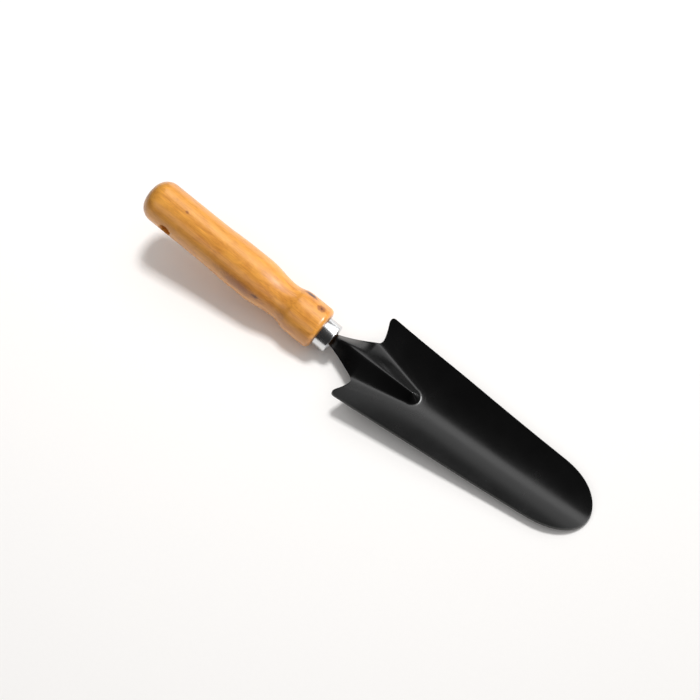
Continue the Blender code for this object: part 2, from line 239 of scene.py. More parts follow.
# ---- node helpers ------------------------------------------------------------------------------
def add_node(tree, kind, inputs=None, **options):
    """Add a node, set its options, then set or link its inputs by name or index."""
    node = tree.nodes.new(kind)
    for name, value in options.items():
        setattr(node, name, value)
    for key, value in (inputs or {}).items():
        socket = node.inputs[key]
        if isinstance(value, bpy.types.NodeSocket):
            tree.links.new(value, socket)
        else:
            socket.default_value = value
    return node


def calculate(tree, operation, *values):
    """Output of a Math node that works on sockets or plain numbers."""
    node = add_node(tree, 'ShaderNodeMath', dict(enumerate(values)), operation=operation)
    return node.outputs[0]


def new_material(name):
    """A material with a Principled shader; returns the material, its tree and the shader."""
    material = bpy.data.materials.new(name)
    material.use_nodes = True
    tree = material.node_tree
    return material, tree, tree.nodes["Principled BSDF"]


# ---- turned pieces by geometry nodes -----------------------------------------------------------
def new_tree(name, sockets):
    """A geometry node tree with named inputs and one geometry output."""
    tree = bpy.data.node_groups.new(name, 'GeometryNodeTree')
    for label, kind in sockets:
        tree.interface.new_socket(label, in_out='INPUT', socket_type=kind)
    tree.interface.new_socket("Geometry", in_out='OUTPUT', socket_type='NodeSocketGeometry')
    return tree, tree.nodes.new('NodeGroupInput'), tree.nodes.new('NodeGroupOutput')


def turning_tree():
    """Tree that turns an outline, a row of (x, 0, radius) points, about the X axis."""
    tree, given, result = new_tree("turn outline", [
        ("Outline", 'NodeSocketGeometry'), ("Segments", 'NodeSocketInt')])
    outline, segments = given.outputs["Outline"], given.outputs["Segments"]
    rings = add_node(tree, 'GeometryNodeAttributeDomainSize', {"Geometry": outline})
    around = calculate(tree, 'ADD', segments, 1.0)
    grid = add_node(tree, 'GeometryNodeMeshGrid', {
        "Vertices X": rings.outputs["Point Count"], "Vertices Y": around})
    index = add_node(tree, 'GeometryNodeInputIndex').outputs[0]
    # half a step is added before rounding down, so that an exact ratio never lands a row short
    shifted = calculate(tree, 'ADD', calculate(tree, 'DIVIDE', index, around),
                        calculate(tree, 'DIVIDE', 0.5, around))
    ring = calculate(tree, 'FLOOR', shifted)
    facet = calculate(tree, 'SUBTRACT', index, calculate(tree, 'MULTIPLY', ring, around))
    turn = calculate(tree, 'MULTIPLY', calculate(tree, 'DIVIDE', facet, segments), math.tau)
    place = add_node(tree, 'GeometryNodeInputPosition')
    sample = add_node(tree, 'GeometryNodeSampleIndex', {
        "Geometry": outline, "Value": place.outputs[0], "Index": ring},
        data_type='FLOAT_VECTOR', domain='POINT', clamp=True)
    part = add_node(tree, 'ShaderNodeSeparateXYZ', {0: sample.outputs[0]})
    radius = part.outputs["Z"]
    point = add_node(tree, 'ShaderNodeCombineXYZ', {
        "X": part.outputs["X"],
        "Y": calculate(tree, 'MULTIPLY', radius, calculate(tree, 'SINE', turn)),
        "Z": calculate(tree, 'MULTIPLY', radius, calculate(tree, 'COSINE', turn))})
    turned = add_node(tree, 'GeometryNodeSetPosition', {
        "Geometry": grid.outputs["Mesh"], "Position": point.outputs[0]})
    closed = add_node(tree, 'GeometryNodeMergeByDistance', {
        "Geometry": turned.outputs[0], "Distance": WELD})
    tree.links.new(closed.outputs[0], result.inputs[0])
    return tree


def ferrule_tree(turning):
    """Tree that turns the ferrule's outline and gives it its material."""
    tree, given, result = new_tree("ferrule", [
        ("Outline", 'NodeSocketGeometry'), ("Segments", 'NodeSocketInt'),
        ("Steel", 'NodeSocketMaterial')])
    body = add_node(tree, 'GeometryNodeGroup', node_tree=turning)
    tree.links.new(given.outputs["Outline"], body.inputs["Outline"])
    tree.links.new(given.outputs["Segments"], body.inputs["Segments"])
    real = add_node(tree, 'GeometryNodeRealizeInstances', {"Geometry": body.outputs[0]})
    painted = add_node(tree, 'GeometryNodeSetMaterial', {
        "Geometry": real.outputs[0], "Material": given.outputs["Steel"]})
    tree.links.new(painted.outputs[0], result.inputs[0])
    return tree


def handle_tree(turning):
    """Tree that turns the handle, bores its hanging hole and cuts the mortise for the tang."""
    tree, given, result = new_tree("handle", [
        ("Outline", 'NodeSocketGeometry'), ("Segments", 'NodeSocketInt'),
        ("Hole outline", 'NodeSocketObject'), ("Hole position", 'NodeSocketVector'),
        ("Mortise", 'NodeSocketObject'), ("Wood", 'NodeSocketMaterial')])
    body = add_node(tree, 'GeometryNodeGroup', node_tree=turning)
    tree.links.new(given.outputs["Outline"], body.inputs["Outline"])
    tree.links.new(given.outputs["Segments"], body.inputs["Segments"])
    outline = add_node(tree, 'GeometryNodeObjectInfo', {"Object": given.outputs["Hole outline"]})
    drill = add_node(tree, 'GeometryNodeGroup', node_tree=turning)
    tree.links.new(outline.outputs["Geometry"], drill.inputs["Outline"])
    drill.inputs["Segments"].default_value = DRILL_SEGMENTS
    across = add_node(tree, 'GeometryNodeTransform', {
        "Geometry": drill.outputs[0], "Translation": given.outputs["Hole position"],
        "Rotation": (0.0, 0.0, math.pi / 2)})
    pocket = add_node(tree, 'GeometryNodeObjectInfo', {"Object": given.outputs["Mortise"]})
    cut = add_node(tree, 'GeometryNodeMeshBoolean', {"Mesh 1": body.outputs[0]},
                   operation='DIFFERENCE', solver='EXACT')
    tree.links.new(across.outputs[0], cut.inputs["Mesh 2"])
    tree.links.new(pocket.outputs["Geometry"], cut.inputs["Mesh 2"])
    real = add_node(tree, 'GeometryNodeRealizeInstances', {"Geometry": cut.outputs["Mesh"]})
    painted = add_node(tree, 'GeometryNodeSetMaterial', {
        "Geometry": real.outputs[0], "Material": given.outputs["Wood"]})
    tree.links.new(painted.outputs[0], result.inputs[0])
    return tree


def link_mesh(name, mesh):
    piece = bpy.data.objects.new(name, mesh)
    bpy.context.scene.collection.objects.link(piece)
    return piece


def outline_object(name, points):
    """An object that holds a turned outline as a row of points joined by edges."""
    mesh = bpy.data.meshes.new(name)
    mesh.from_pydata([(x, 0, radius) for x, radius in points],
                     [(i, i + 1) for i in range(len(points) - 1)], [])
    return link_mesh(name, mesh)


def run_tree(name, base, tree, values, place):
    """Evaluate a tree on the base object and keep the result as a plain mesh in the frame."""
    modifier = base.modifiers.new(tree.name, 'NODES')
    modifier.node_group = tree
    for item in tree.interface.items_tree:
        if item.item_type == 'SOCKET' and item.in_out == 'INPUT' and item.name in values:
            modifier[item.identifier] = values[item.name]
    graph = bpy.context.evaluated_depsgraph_get()
    graph.update()
    mesh = bpy.data.meshes.new_from_object(base.evaluated_get(graph))
    mesh.name = name
    base.modifiers.remove(modifier)
    bm = bmesh.new()
    bm.from_mesh(mesh)
    bmesh.ops.remove_doubles(bm, verts=bm.verts, dist=WELD / 2)
    bmesh.ops.recalc_face_normals(bm, faces=bm.faces)
    bm.to_mesh(mesh)
    bm.free()
    mesh.transform(place)
    return link_mesh(name, mesh)


def shade_round(piece, degrees):
    piece.data.shade_smooth()
    piece.data.set_sharp_from_angle(angle=math.radians(degrees))


def settle(piece, node):
    """Let the piece stand for its CAD node, on the tool's one body."""
    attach(piece, "root")
    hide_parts(node)


# ---- handle ------------------------------------------------------------------------------------
def grip_radius(s):
    """Radius of the turned grip at distance s from the butt, past the butt's rounding."""
    handle = settings()[0]
    if s < GRIP_END:
        return handle.butt_radius
    if s < SWELL_END:
        swell = ease((s - GRIP_END) / (SWELL_START - GRIP_END))
        return handle.butt_radius + (handle.swell_radius - handle.butt_radius) * swell
    if s < WAIST_AT:
        fall = ease((s - SWELL_END) / (WAIST_AT - SWELL_END))
        return handle.swell_radius + (handle.waist_radius - handle.swell_radius) * fall
    if s < COLLAR_START:
        cove = (s - WAIST_AT) / (COLLAR_START - WAIST_AT)
        return handle.waist_radius + (COLLAR_EDGE_RADIUS - handle.waist_radius) * cove ** 2
    collar = ease(0.5 + 0.5 * (s - COLLAR_START) / (COLLAR_FULL - COLLAR_START))
    return COLLAR_EDGE_RADIUS + (handle.collar_radius - COLLAR_EDGE_RADIUS) * (2 * collar - 1)


def handle_outline():
    """Outline of the handle, with x = 0 at the ferrule's front."""
    handle, ferrule, _ = settings()
    rounding = handle.butt_rounding
    points = [(0.0, 0.0)] + [(0.0, r) for r in steps(0, handle.butt_radius - rounding, 4)[1:-1]]
    points += arc(rounding, handle.butt_radius - rounding, rounding, 180, 90, 28)
    collar_end = handle.length - handle.collar_rounding
    start = rounding
    for end, count in ((handle.hole_at - HOLE_STRETCH, 3), (handle.hole_at + HOLE_STRETCH, 36),
                       (GRIP_END, 10), (SWELL_END, 26), (COLLAR_START, 34), (COLLAR_FULL, 8),
                       (collar_end, 10)):
        points += [(s, grip_radius(s)) for s in steps(start, end, count)[1:]]
        start = end
    points += arc(collar_end, handle.collar_radius - handle.collar_rounding,
                  handle.collar_rounding, 90, 0, 14)[1:]
    tenon = ferrule.radius - ferrule.wall - GAP
    end = handle.length + ferrule.length - ferrule.wall - GAP
    points += [(handle.length, tenon), (end, tenon), (end, 0.0)]
    return [(s - handle.length - ferrule.length, radius) for s, radius in points]


def hole_outline():
    """Outline of the drill that makes the hanging hole and eases its rim, along its own axis."""
    handle = settings()[0]
    half = handle.swell_radius + 2 * MM
    flare = arc(handle.butt_radius - HOLE_RIM_DEPTH, handle.hole_radius + HOLE_EASING,
                HOLE_EASING, -90, HOLE_FLARE - 90, 8)
    x, radius = flare[-1]
    flare.append((half, radius + (half - x) * math.tan(math.radians(HOLE_FLARE))))
    return [(-half, 0.0)] + [(-a, r) for a, r in reversed(flare)] + flare + [(half, 0.0)]


def tang_half_width(back):
    """Half width of the tang at the distance back behind the ferrule's front."""
    widening = TANG_END_HALF_WIDTH - NECK_START_HALF_WIDTH
    return NECK_START_HALF_WIDTH + widening * back / TANG_LENGTH


def tang_rise(back):
    """Height of the tang's fold at the distance back behind the ferrule's front."""
    return TANG_RISE + (TANG_END_RISE - TANG_RISE) * back / TANG_LENGTH


def mortise():
    """Tapered five-sided pocket that clears the folded tang, along the handle's axis."""
    clear = MORTISE_CLEARANCE
    drop = axis_height() - NECK_KEEL_START
    sheet = settings()[2].sheet
    bm = bmesh.new()
    rings = []
    for back in (-2 * MM, TANG_LENGTH + 1.5 * MM):
        side = tang_half_width(back) + clear + 0.3 * MM
        low = -drop - sheet - clear
        eaves = -drop + clear + 0.5 * MM
        peak = -drop + tang_rise(back) + 2 * clear
        outline = [(-side, low), (side, low), (side, eaves), (0, peak), (-side, eaves)]
        rings.append([bm.verts.new((-back, y, z)) for y, z in outline])
    for i in range(5):
        j = (i + 1) % 5
        bm.faces.new((rings[0][i], rings[0][j], rings[1][j], rings[1][i]))
    bm.faces.new(rings[0])
    bm.faces.new(rings[1])
    bmesh.ops.recalc_face_normals(bm, faces=bm.faces)
    mesh = bpy.data.meshes.new("mortise")
    bm.to_mesh(mesh)
    bm.free()
    return link_mesh("mortise", mesh)


def mark_distance(tree, vector, waver, at, turn, along, across):
    """Distance from a mark on the grip: 0 at its middle, 1 at its edge.

    at is measured from the butt and turn in degrees from the top of the handle towards +Y;
    along and across are the mark's half sizes.
    """
    handle, ferrule, _ = settings()
    angle = math.radians(turn)
    radius = grip_radius(at)
    local = add_node(tree, 'ShaderNodeMapping', {
        "Vector": vector, "Rotation": (-angle, 0, 0), "Scale": (along, across, across),
        "Location": (at - handle.length - ferrule.length, radius * math.sin(angle),
                     radius * math.cos(angle))}, vector_type='TEXTURE')
    away = add_node(tree, 'ShaderNodeVectorMath', {0: local.outputs[0]}, operation='LENGTH')
    return calculate(tree, 'ADD', away.outputs["Value"], waver)


def stain(tree, base, distance, colour_value, inner, outer, strength):
    """Lay a colour over base where distance is under outer, in full where it is under inner."""
    cover = add_node(tree, 'ShaderNodeMapRange', {
        "Value": distance, "From Min": inner, "From Max": outer,
        "To Min": strength, "To Max": 0.0}, interpolation_type='SMOOTHSTEP')
    mixed = add_node(tree, 'ShaderNodeMix', {"Factor": cover.outputs[0]}, data_type='RGBA')
    tree.links.new(base, mixed.inputs["A"])
    mixed.inputs["B"].default_value = (*colour_value, 1)
    return mixed.outputs["Result"]


def lacquered_wood():
    """Turned pale hardwood under a clear amber lacquer."""
    handle = settings()[0]
    material, tree, shader = new_material("lacquered hardwood")
    place = add_node(tree, 'ShaderNodeTexCoord')
    back = handle_place().inverted()
    # object coordinates turned into the handle's own axes, x along the grain
    turned = add_node(tree, 'ShaderNodeMapping', {
        "Vector": place.outputs["Object"], "Rotation": (0, -handle.pitch, 0),
        "Location": tuple(back.translation)}, vector_type='POINT')
    own = turned.outputs[0]
    # growth rings about 4 mm apart, cut lengthwise into long soft bands
    slow = add_node(tree, 'ShaderNodeMapping', {
        "Vector": own, "Scale": (12, 170, 120), "Rotation": (0.5, 0, 0.03)})
    rings = add_node(tree, 'ShaderNodeTexNoise', {
        "Vector": slow.outputs[0], "Scale": 1.0, "Detail": 3.0, "Roughness": 0.55,
        "Distortion": 0.6})
    # fibres 0.6 mm wide and 11 mm long
    thin = add_node(tree, 'ShaderNodeMapping', {"Vector": own, "Scale": (90, 1500, 1500)})
    fibres = add_node(tree, 'ShaderNodeTexNoise', {
        "Vector": thin.outputs[0], "Scale": 1.0, "Detail": 4.0, "Roughness": 0.6})
    tone = add_node(tree, 'ShaderNodeMix', {
        "Factor": 0.55, "A": rings.outputs["Fac"], "B": fibres.outputs["Fac"]}, data_type='FLOAT')
    # mottled figure in patches about 6 by 16 mm
    patches = add_node(tree, 'ShaderNodeMapping', {"Vector": own, "Scale": (62, 165, 165)})
    mottle = add_node(tree, 'ShaderNodeTexNoise', {
        "Vector": patches.outputs[0], "Scale": 1.0, "Detail": 5.0, "Roughness": 0.65,
        "Distortion": 1.2})
    figure = add_node(tree, 'ShaderNodeMix', {
        "Factor": 0.38, "A": tone.outputs[0], "B": mottle.outputs["Fac"]}, data_type='FLOAT')
    bands = add_node(tree, 'ShaderNodeMapRange', {
        "Value": figure.outputs[0], "From Min": 0.40, "From Max": 0.60})
    wood = add_node(tree, 'ShaderNodeMix', {"Factor": bands.outputs[0]}, data_type='RGBA')
    wood.inputs["A"].default_value = (*handle.late_wood, 1)
    wood.inputs["B"].default_value = (*handle.early_wood, 1)
    # a slow noise breaks up the outlines of the knots and the streak
    rough_edge = add_node(tree, 'ShaderNodeTexNoise', {
        "Vector": own, "Scale": 900.0, "Detail": 2.0})
    waver = add_node(tree, 'ShaderNodeMapRange', {
        "Value": rough_edge.outputs["Fac"], "To Min": -0.4, "To Max": 0.4}).outputs[0]
    slot_knot = mark_distance(tree, own, waver, 113.0 * MM, 47, 4.4 * MM, 1.9 * MM)
    round_knot = mark_distance(tree, own, waver, 123.0 * MM, 25.5, 2.5 * MM, 2.2 * MM)
    fleck = mark_distance(tree, own, waver, 26.5 * MM, -1.5, 1.4 * MM, 0.9 * MM)
    streak = mark_distance(tree, own, waver, 74.0 * MM, -68, 18.0 * MM, 4.4 * MM)
    streak_end = mark_distance(tree, own, waver, 88.0 * MM, -63, 3.2 * MM, 1.0 * MM)
    face = wood.outputs["Result"]
    for distance, shade, inner, outer, strength in (
            (streak, handle.knot_rim, 0.1, 1.3, 0.72),
            (slot_knot, handle.knot_rim, 0.8, 1.5, 0.75),
            (slot_knot, handle.knot, 0.55, 0.95, 1.0),
            (round_knot, handle.knot_rim, 0.7, 1.4, 0.8),
            (round_knot, handle.knot, 0.05, 0.5, 0.85),
            (fleck, handle.knot_rim, 0.4, 1.2, 0.8),
            (streak_end, handle.knot, 0.4, 1.2, 0.7)):
        face = stain(tree, face, distance, shade, inner, outer, strength)
    # end grain drinks more lacquer: the butt, the collar's front face and the tenon are darker
    facing = add_node(tree, 'ShaderNodeNewGeometry')
    along = add_node(tree, 'ShaderNodeVectorMath', {
        0: facing.outputs["Normal"], 1: (math.cos(handle.pitch), 0, -math.sin(handle.pitch))},
        operation='DOT_PRODUCT')
    ends = calculate(tree, 'ABSOLUTE', along.outputs["Value"])
    pores = add_node(tree, 'ShaderNodeTexNoise', {"Vector": own, "Scale": 1500.0, "Detail": 3.0})
    drink = add_node(tree, 'ShaderNodeMapRange', {
        "Value": ends, "From Min": 0.75, "From Max": 1.0, "To Min": 0.0, "To Max": 0.55},
        interpolation_type='SMOOTHSTEP')
    dark = calculate(tree, 'MULTIPLY', drink.outputs[0], pores.outputs["Fac"])
    finish = add_node(tree, 'ShaderNodeMix', {"Factor": dark}, data_type='RGBA')
    tree.links.new(face, finish.inputs["A"])
    finish.inputs["B"].default_value = (*handle.knot_rim, 1)
    tree.links.new(finish.outputs["Result"], shader.inputs["Base Color"])
    relief = add_node(tree, 'ShaderNodeBump', {
        "Height": fibres.outputs["Fac"], "Strength": 0.12, "Distance": 0.1 * MM})
    tree.links.new(relief.outputs[0], shader.inputs["Normal"])
    sheen = add_node(tree, 'ShaderNodeMapRange', {
        "Value": rings.outputs["Fac"], "From Min": 0.3, "From Max": 0.7,
        "To Min": 0.38, "To Max": 0.46})
    tree.links.new(sheen.outputs[0], shader.inputs["Roughness"])
    shader.inputs["Coat Weight"].default_value = 0.5
    shader.inputs["Coat Roughness"].default_value = 0.17
    return material


class TRANSPLANTER_OT_handle(bpy.types.Operator):
    """Turn the wooden handle, with its hanging hole and the mortise for the tang."""
    bl_idname = "transplanter.handle"
    bl_label = "Make Handle"

    def execute(self, context):
        handle, ferrule, _ = settings()
        turning = turning_tree()
        base = outline_object("handle outline", handle_outline())
        hole = outline_object("hole outline", hole_outline())
        pocket = mortise()
        back = handle.hole_at - handle.length - ferrule.length
        piece = run_tree("turned_handle", base, handle_tree(turning), {
            "Segments": handle.segments, "Hole outline": hole,
            "Hole position": (back, 0.0, 0.0), "Mortise": pocket,
            "Wood": lacquered_wood()}, handle_place())
        for helper in (base, hole, pocket):
            bpy.data.objects.remove(helper)
        shade_round(piece, 32)
        settle(piece, "handle")
        return {'FINISHED'}


# ---- ferrule -----------------------------------------------------------------------------------
def ferrule_outline():
    """Closed outline of the ferrule's wall, with x = 0 at its front."""
    ferrule = settings()[1]
    back = GAP - ferrule.length
    inner = ferrule.radius - ferrule.wall
    lip = 0.25 * MM
    edge = 0.15 * MM
    points = [(back, inner), (back, ferrule.radius - edge)]
    points += arc(back + edge, ferrule.radius - edge, edge, 180, 90, 4)[1:]
    points += arc(-ferrule.rounding, ferrule.radius - ferrule.rounding, ferrule.rounding,
                  90, 0, 12)
    points += arc(-lip, ferrule.hole_radius + lip, lip, 0, -90, 5)
    points += [(-ferrule.wall, ferrule.hole_radius)]
    points += [(-ferrule.wall, inner), (back, inner)]
    return points


def polished_steel():
    """Drawn steel cap, buffed bright, with fine polishing lines round it."""
    ferrule = settings()[1]
    material, tree, shader = new_material("polished steel")
    place = add_node(tree, 'ShaderNodeTexCoord')
    turned = add_node(tree, 'ShaderNodeMapping', {
        "Vector": place.outputs["Object"], "Rotation": (0, -settings()[0].pitch, 0)})
    lines = add_node(tree, 'ShaderNodeMapping', {
        "Vector": turned.outputs[0], "Scale": (6000, 60, 60)})
    polish = add_node(tree, 'ShaderNodeTexNoise', {
        "Vector": lines.outputs[0], "Scale": 1.0, "Detail": 2.0})
    rough = add_node(tree, 'ShaderNodeMapRange', {
        "Value": polish.outputs["Fac"], "To Min": 0.17, "To Max": 0.27})
    tree.links.new(rough.outputs[0], shader.inputs["Roughness"])
    relief = add_node(tree, 'ShaderNodeBump', {
        "Height": polish.outputs["Fac"], "Strength": 0.05, "Distance": 0.02 * MM})
    tree.links.new(relief.outputs[0], shader.inputs["Normal"])
    shader.inputs["Base Color"].default_value = (*ferrule.steel, 1)
    shader.inputs["Metallic"].default_value = 1.0
    return material


class TRANSPLANTER_OT_ferrule(bpy.types.Operator):
    """Turn the polished ferrule with its turned-in front lip."""
    bl_idname = "transplanter.ferrule"
    bl_label = "Make Ferrule"

    def execute(self, context):
        ferrule = settings()[1]
        base = outline_object("ferrule outline", ferrule_outline())
        piece = run_tree("drawn_ferrule", base, ferrule_tree(turning_tree()), {
            "Segments": ferrule.segments, "Steel": polished_steel()}, handle_place())
        bpy.data.objects.remove(base)
        shade_round(piece, 40)
        settle(piece, "ferrule")
        return {'FINISHED'}


# ---- blade -------------------------------------------------------------------------------------
BLADE = {}          # the blade's settings as plain numbers, filled in before the sheet is made


def side_half_width(x):
    """Half width between the blade's straight, converging sides."""
    share = (x - SHOULDER_AT) / (BLADE["reach"] - SHOULDER_AT)
    return BLADE["shoulder"] + (BLADE["tip"] - BLADE["shoulder"]) * share


def outline_half_width(x):
    """Half width of the blade's outline, which closes over the rounded tip."""
    into_tip = min(max((x - BLADE["reach"]) / TIP_CAP_LENGTH + 1, 0.0), 1.0)
    return side_half_width(x) * math.sqrt(1 - into_tip ** TIP_CAP_POWER)


def line_end(lateral):
    """x where a mesh line, at the distance lateral(x) from the centre, meets the tip's outline."""
    near, far = BLADE["reach"] - TIP_CAP_LENGTH, BLADE["reach"]
    for _ in range(40):
        middle = (near + far) / 2
        if abs(lateral(middle)) < outline_half_width(middle):
            near = middle
        else:
            far = middle
    return (near + far) / 2


def ear_start(y):
    """x of the shoulder's rear edge at the distance y, with its rounded corner."""
    half_width = BLADE["shoulder"]
    sweep = (y - NOTCH_HALF_WIDTH) / (half_width - NOTCH_HALF_WIDTH)
    x = NOTCH_AT - EAR_SWEEP * max(sweep, 0.0) ** 1.5
    into_corner = min(max(y - (half_width - SHOULDER_CORNER), 0.0), SHOULDER_CORNER)
    return x + SHOULDER_CORNER - math.sqrt(SHOULDER_CORNER ** 2 - into_corner ** 2)


def neck_flare(x):
    """Half width of the neck as it spreads from the ferrule."""
    share = max(x, 0.0) / NECK_END_AT
    spread = NECK_END_HALF_WIDTH - NECK_START_HALF_WIDTH
    return NECK_START_HALF_WIDTH + spread * share ** NECK_FLARE_POWER


def neck_half_width(x):
    """Half width of the neck, which ends in the rounded bottom of the notch."""
    if x <= NECK_END_AT:
        return neck_flare(x)
    reach = x - (NOTCH_AT - NOTCH_RADIUS)
    return NOTCH_HALF_WIDTH - math.sqrt(max(NOTCH_RADIUS ** 2 - reach ** 2, 0.0))


def ridge_half_width(x):
    """Distance from the centre line to the ridge's foot."""
    share = (x - NOTCH_AT) / (RIDGE_END_AT - NOTCH_AT)
    foot = RIDGE_FOOT_HALF_WIDTH + (RIDGE_END_HALF_WIDTH - RIDGE_FOOT_HALF_WIDTH) * share
    return max(min(neck_flare(x), foot), RIDGE_END_HALF_WIDTH if x > NOTCH_AT else 0.0)


def outer_line(x):
    """Distance to the mesh line that leaves the bottom of the notch and runs to the tip."""
    share = ease((x - NOTCH_AT) / (RIDGE_END_AT - NOTCH_AT))
    return NOTCH_HALF_WIDTH + (2 * RIDGE_END_HALF_WIDTH - NOTCH_HALF_WIDTH) * share


def keel(x):
    """Height of the trough's bottom line on the upper face."""
    rocker = BLADE["sheet"] + KEEL_RISE * ((x - KEEL_LOW_AT) / (SHOULDER_AT - KEEL_LOW_AT)) ** 2
    neck = NECK_KEEL_START - NECK_KEEL_SLOPE * min(x, NECK_KEEL_END)
    return (rocker + neck - math.hypot(rocker - neck, NECK_KEEL_BLEND)) / 2


def crest(x):
    """Height of the ridge's top line."""
    climb = BLADE["ridge_height"] + RIDGE_CLIMB * max(x, 0.0)
    fall = RIDGE_LINE_HEIGHT + (RIDGE_END_HEIGHT - RIDGE_LINE_HEIGHT) * x / RIDGE_END_AT
    return (climb + fall - math.hypot(climb - fall, RIDGE_CREST_BLEND)) / 2


def roof(share, x):
    """Section of the ridge at x: 1 at its top, a straight fall, and a soft foot near share 1."""
    sharp = ease((x - NECK_ROUND_UNTIL) / (NECK_SHARP_FROM - NECK_ROUND_UNTIL))
    peak_round = NECK_PEAK_ROUND + (RIDGE_PEAK_ROUND - NECK_PEAK_ROUND) * sharp
    foot_round = NECK_FOOT_ROUND + (RIDGE_FOOT_ROUND - NECK_FOOT_ROUND) * sharp
    whole_fall = math.hypot(1.0, peak_round) - peak_round
    fall = (math.hypot(share, peak_round) - peak_round) / whole_fall
    left = 1 - fall
    soft = (left + math.hypot(left, foot_round)) / 2
    rest = foot_round ** 2 / 4
    return max(soft - rest / max(share, 1.0), 0.0) if share < RIDGE_FOOT_REACH else 0.0


def blade_height(x, y):
    """Height of the blade's upper face."""
    wall = TROUGH_SLOPE_REAR + (TROUGH_SLOPE_FRONT - TROUGH_SLOPE_REAR) * ease(
        (x - SHOULDER_AT) / (TROUGH_FULL_AT - SHOULDER_AT))
    trough = keel(x) + wall * (math.hypot(y, TROUGH_ROUND) - TROUGH_ROUND)
    along = min(x, RIDGE_END_AT)
    share = abs(y) / ridge_half_width(x)
    if x > RIDGE_END_AT:
        share = math.hypot(share, (x - RIDGE_END_AT) / RIDGE_NOSE_LENGTH)
    return trough + (crest(along) - keel(along)) * roof(share, x)


def join_rows(bm, rows):
    """Join rows of vertices of equal length with quads."""
    for near, far in zip(rows, rows[1:]):
        for a, b, c, d in zip(near, far, far[1:], near[1:]):
            bm.faces.new((a, b, c, d))


def blade_sheet():
    """The blade's upper face, from the tang's end to the tip, as one sheet."""
    blade = settings()[2]
    BLADE.update(reach=blade.reach, sheet=blade.sheet, shoulder=blade.shoulder_half_width,
                 tip=blade.tip_half_width, ridge_height=blade.ridge_height)
    reach = blade.reach
    pitch = settings()[0].pitch
    height = axis_height()
    drop = height - NECK_KEEL_START
    bm = bmesh.new()
    inner_columns = steps(0, 1, 16)
    middle_columns = steps(0, 1, 7)[1:]
    wing_columns = [math.sin(math.pi / 2 * t) for t in steps(0, 1, 26)][1:]

    def centre_y(inner, outer):
        """Distances y across a row, over the ridge and then out to its outer edge."""
        half = [inner * t for t in inner_columns]
        half += [inner + (outer - inner) * t for t in middle_columns]
        return [-y for y in reversed(half[1:])] + half

    rows = []
    inner_share = RIDGE_FOOT_HALF_WIDTH / NOTCH_HALF_WIDTH
    for back in steps(TANG_LENGTH, 0, 16)[:-1]:
        half = tang_half_width(back)
        row = []
        for y in centre_y(half * inner_share, half):
            lift = -drop + tang_rise(back) * roof(abs(y) / half, -back)
            row.append(bm.verts.new((-back * math.cos(pitch) + lift * math.sin(pitch), y,
                                     height + back * math.sin(pitch) + lift * math.cos(pitch))))
        rows.append(row)
    for x in steps(0, NECK_END_AT, 26) + steps(NECK_END_AT, NOTCH_AT, 8)[1:]:
        half = neck_half_width(x)
        rows.append([bm.verts.new((x, y, blade_height(x, y)))
                     for y in centre_y(half * inner_share, half)])
    join_rows(bm, rows)

    nose = (RIDGE_END_AT - 4 * MM, RIDGE_END_AT + 8 * MM)
    stretches = [(NOTCH_AT, nose[0], 30), (*nose, 30), (nose[1], KEEL_LOW_AT, 56),
                 (KEEL_LOW_AT, reach, 24)]
    row_x = [NOTCH_AT]
    for start, end, count in stretches:
        row_x += steps(start, end, count)[1:]
    shares = [(x - NOTCH_AT) / (reach - NOTCH_AT) for x in row_x]

    def point(start, end, share, lateral):
        """Vertex position on one mesh line; lateral gives its distance y at a given x."""
        x = start + (end - start) * share
        y = lateral(x)
        return x, y, blade_height(x, y)

    centre_lines = [lambda x, t=t: ridge_half_width(x) * t for t in inner_columns]
    centre_lines += [lambda x, t=t: ridge_half_width(x) + (outer_line(x) - ridge_half_width(x)) * t
                     for t in middle_columns]
    wing_lines = [lambda x, t=t: outer_line(x) + (side_half_width(x) - outer_line(x)) * t
                  for t in wing_columns]
    centre_ends = [line_end(line) for line in centre_lines]
    wing_ends = [line_end(line) for line in wing_lines]
    grid = [rows[-1]]
    for share in shares[1:]:
        half = [point(NOTCH_AT, end, share, line) for line, end in zip(centre_lines, centre_ends)]
        mirrored = [(x, -y, z) for x, y, z in reversed(half[1:])]
        grid.append([bm.verts.new(place) for place in mirrored + half])
    join_rows(bm, grid)
    ear_width = BLADE["shoulder"] - NOTCH_HALF_WIDTH
    for side in (-1, 1):
        wing = []
        for i, share in enumerate(shares):
            row = [grid[i][-1 if side > 0 else 0]]
            for line, end, column in zip(wing_lines, wing_ends, wing_columns):
                x, y, z = point(ear_start(NOTCH_HALF_WIDTH + ear_width * column), end, share, line)
                row.append(bm.verts.new((x, side * y, z)))
            wing.append(row if side > 0 else row[::-1])
        join_rows(bm, wing)
    bmesh.ops.recalc_face_normals(bm, faces=bm.faces)
    bm.faces.ensure_lookup_table()
    if bm.faces[0].normal.z < 0:
        bmesh.ops.reverse_faces(bm, faces=bm.faces)
    mesh = bpy.data.meshes.new("pressed_blade")
    bm.to_mesh(mesh)
    bm.free()
    return mesh


